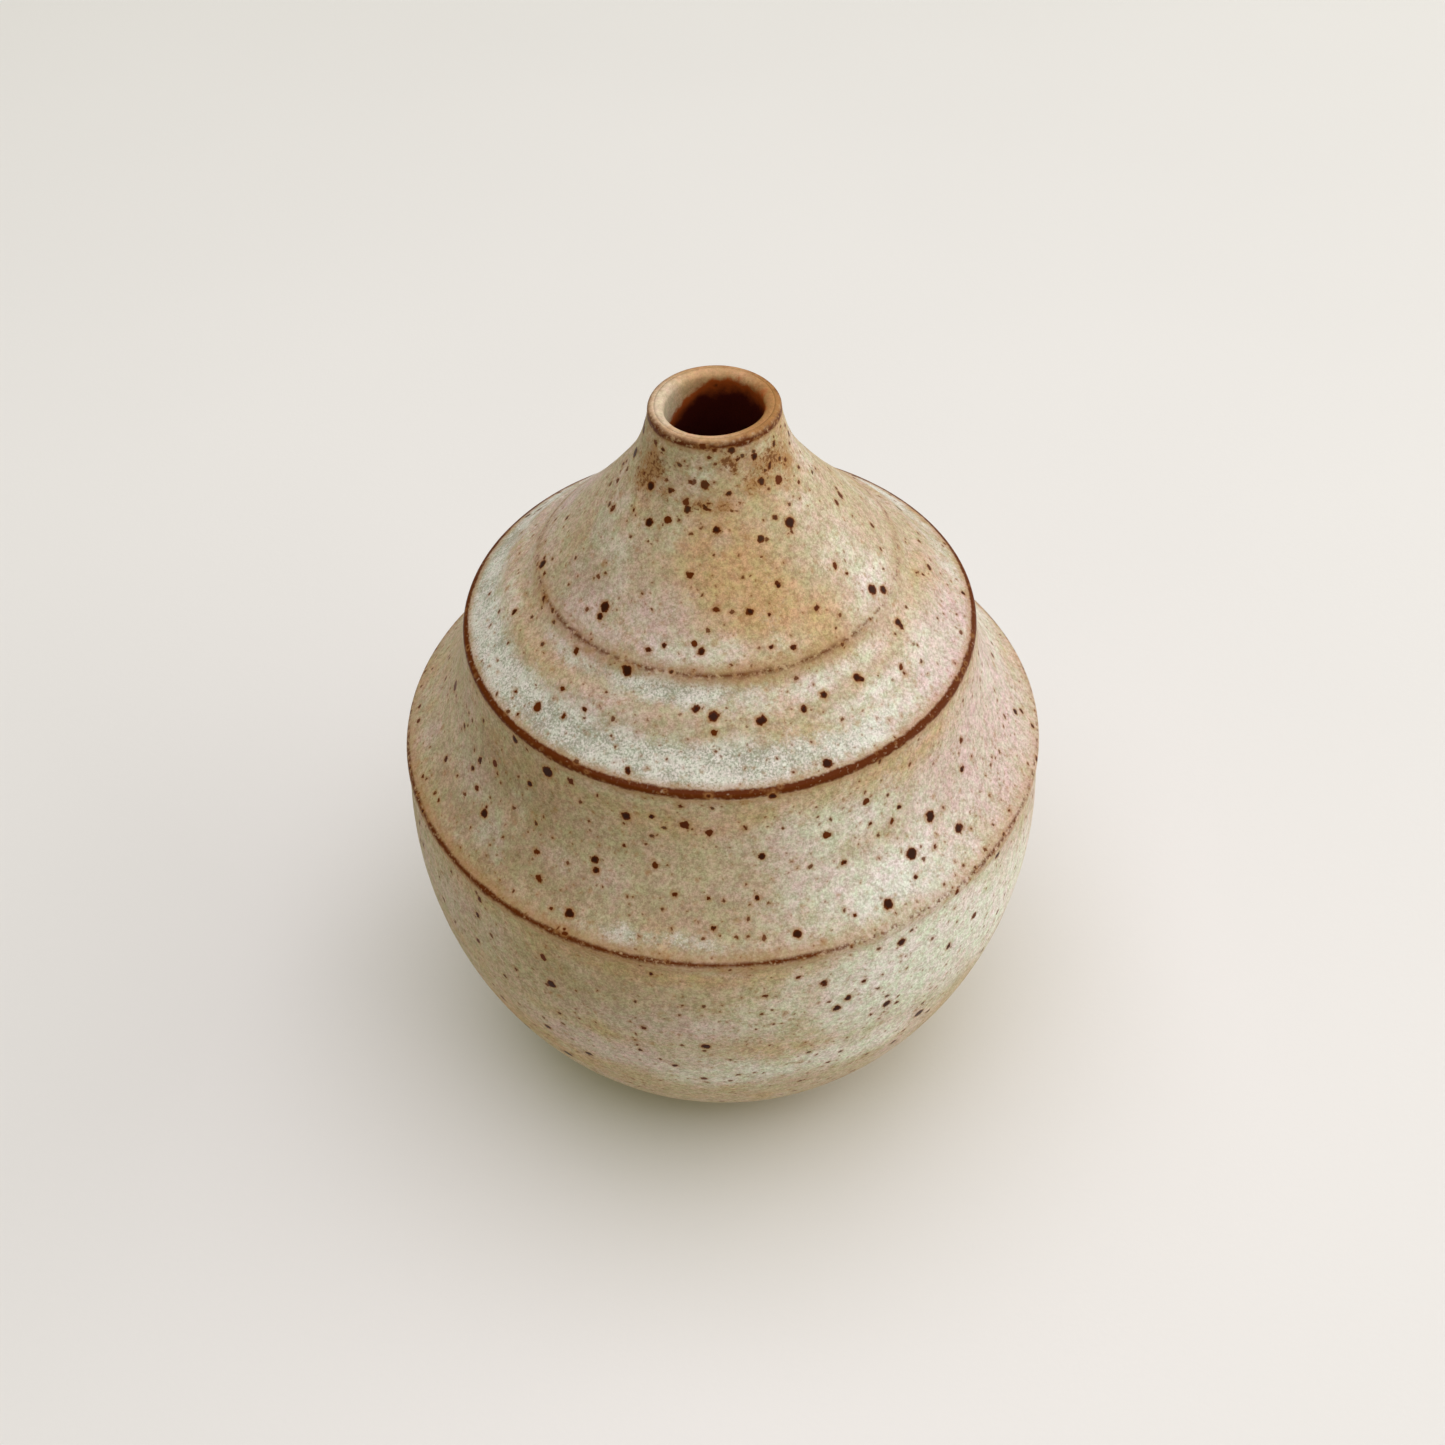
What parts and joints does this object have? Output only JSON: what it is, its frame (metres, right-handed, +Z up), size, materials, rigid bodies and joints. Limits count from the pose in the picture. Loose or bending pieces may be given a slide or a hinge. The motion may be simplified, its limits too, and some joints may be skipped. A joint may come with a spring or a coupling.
{
  "type": "bud vase",
  "caption": "Round-bellied stoneware bud vase with a narrow mouth, a flared conical neck, a sharp-edged shoulder ledge and a soft ridge above the bowl, speckled matte glaze.",
  "frame": {"origin": "centre of the foot ring's flat face, on the surface that the vase stands on", "axes": "+Z up along the vase's axis through the mouth; X and Y level, and the vase is round, so their directions are free"},
  "size_m": [0.0978, 0.0978, 0.119],
  "materials": {
    "bare_clay": "fired stoneware with iron specks, bare and slightly rough",
    "speckled_glaze": "matte cream, lilac-grey and tan glaze with iron-brown specks, breaking dark brown on edges",
    "liner_glaze": "satin red-brown glaze inside"
  },
  "bodies": {
    "root": {"clay_body": "bare_clay", "outer_glaze": "speckled_glaze", "liner_glaze": "liner_glaze"}
  },
  "joints": []
}
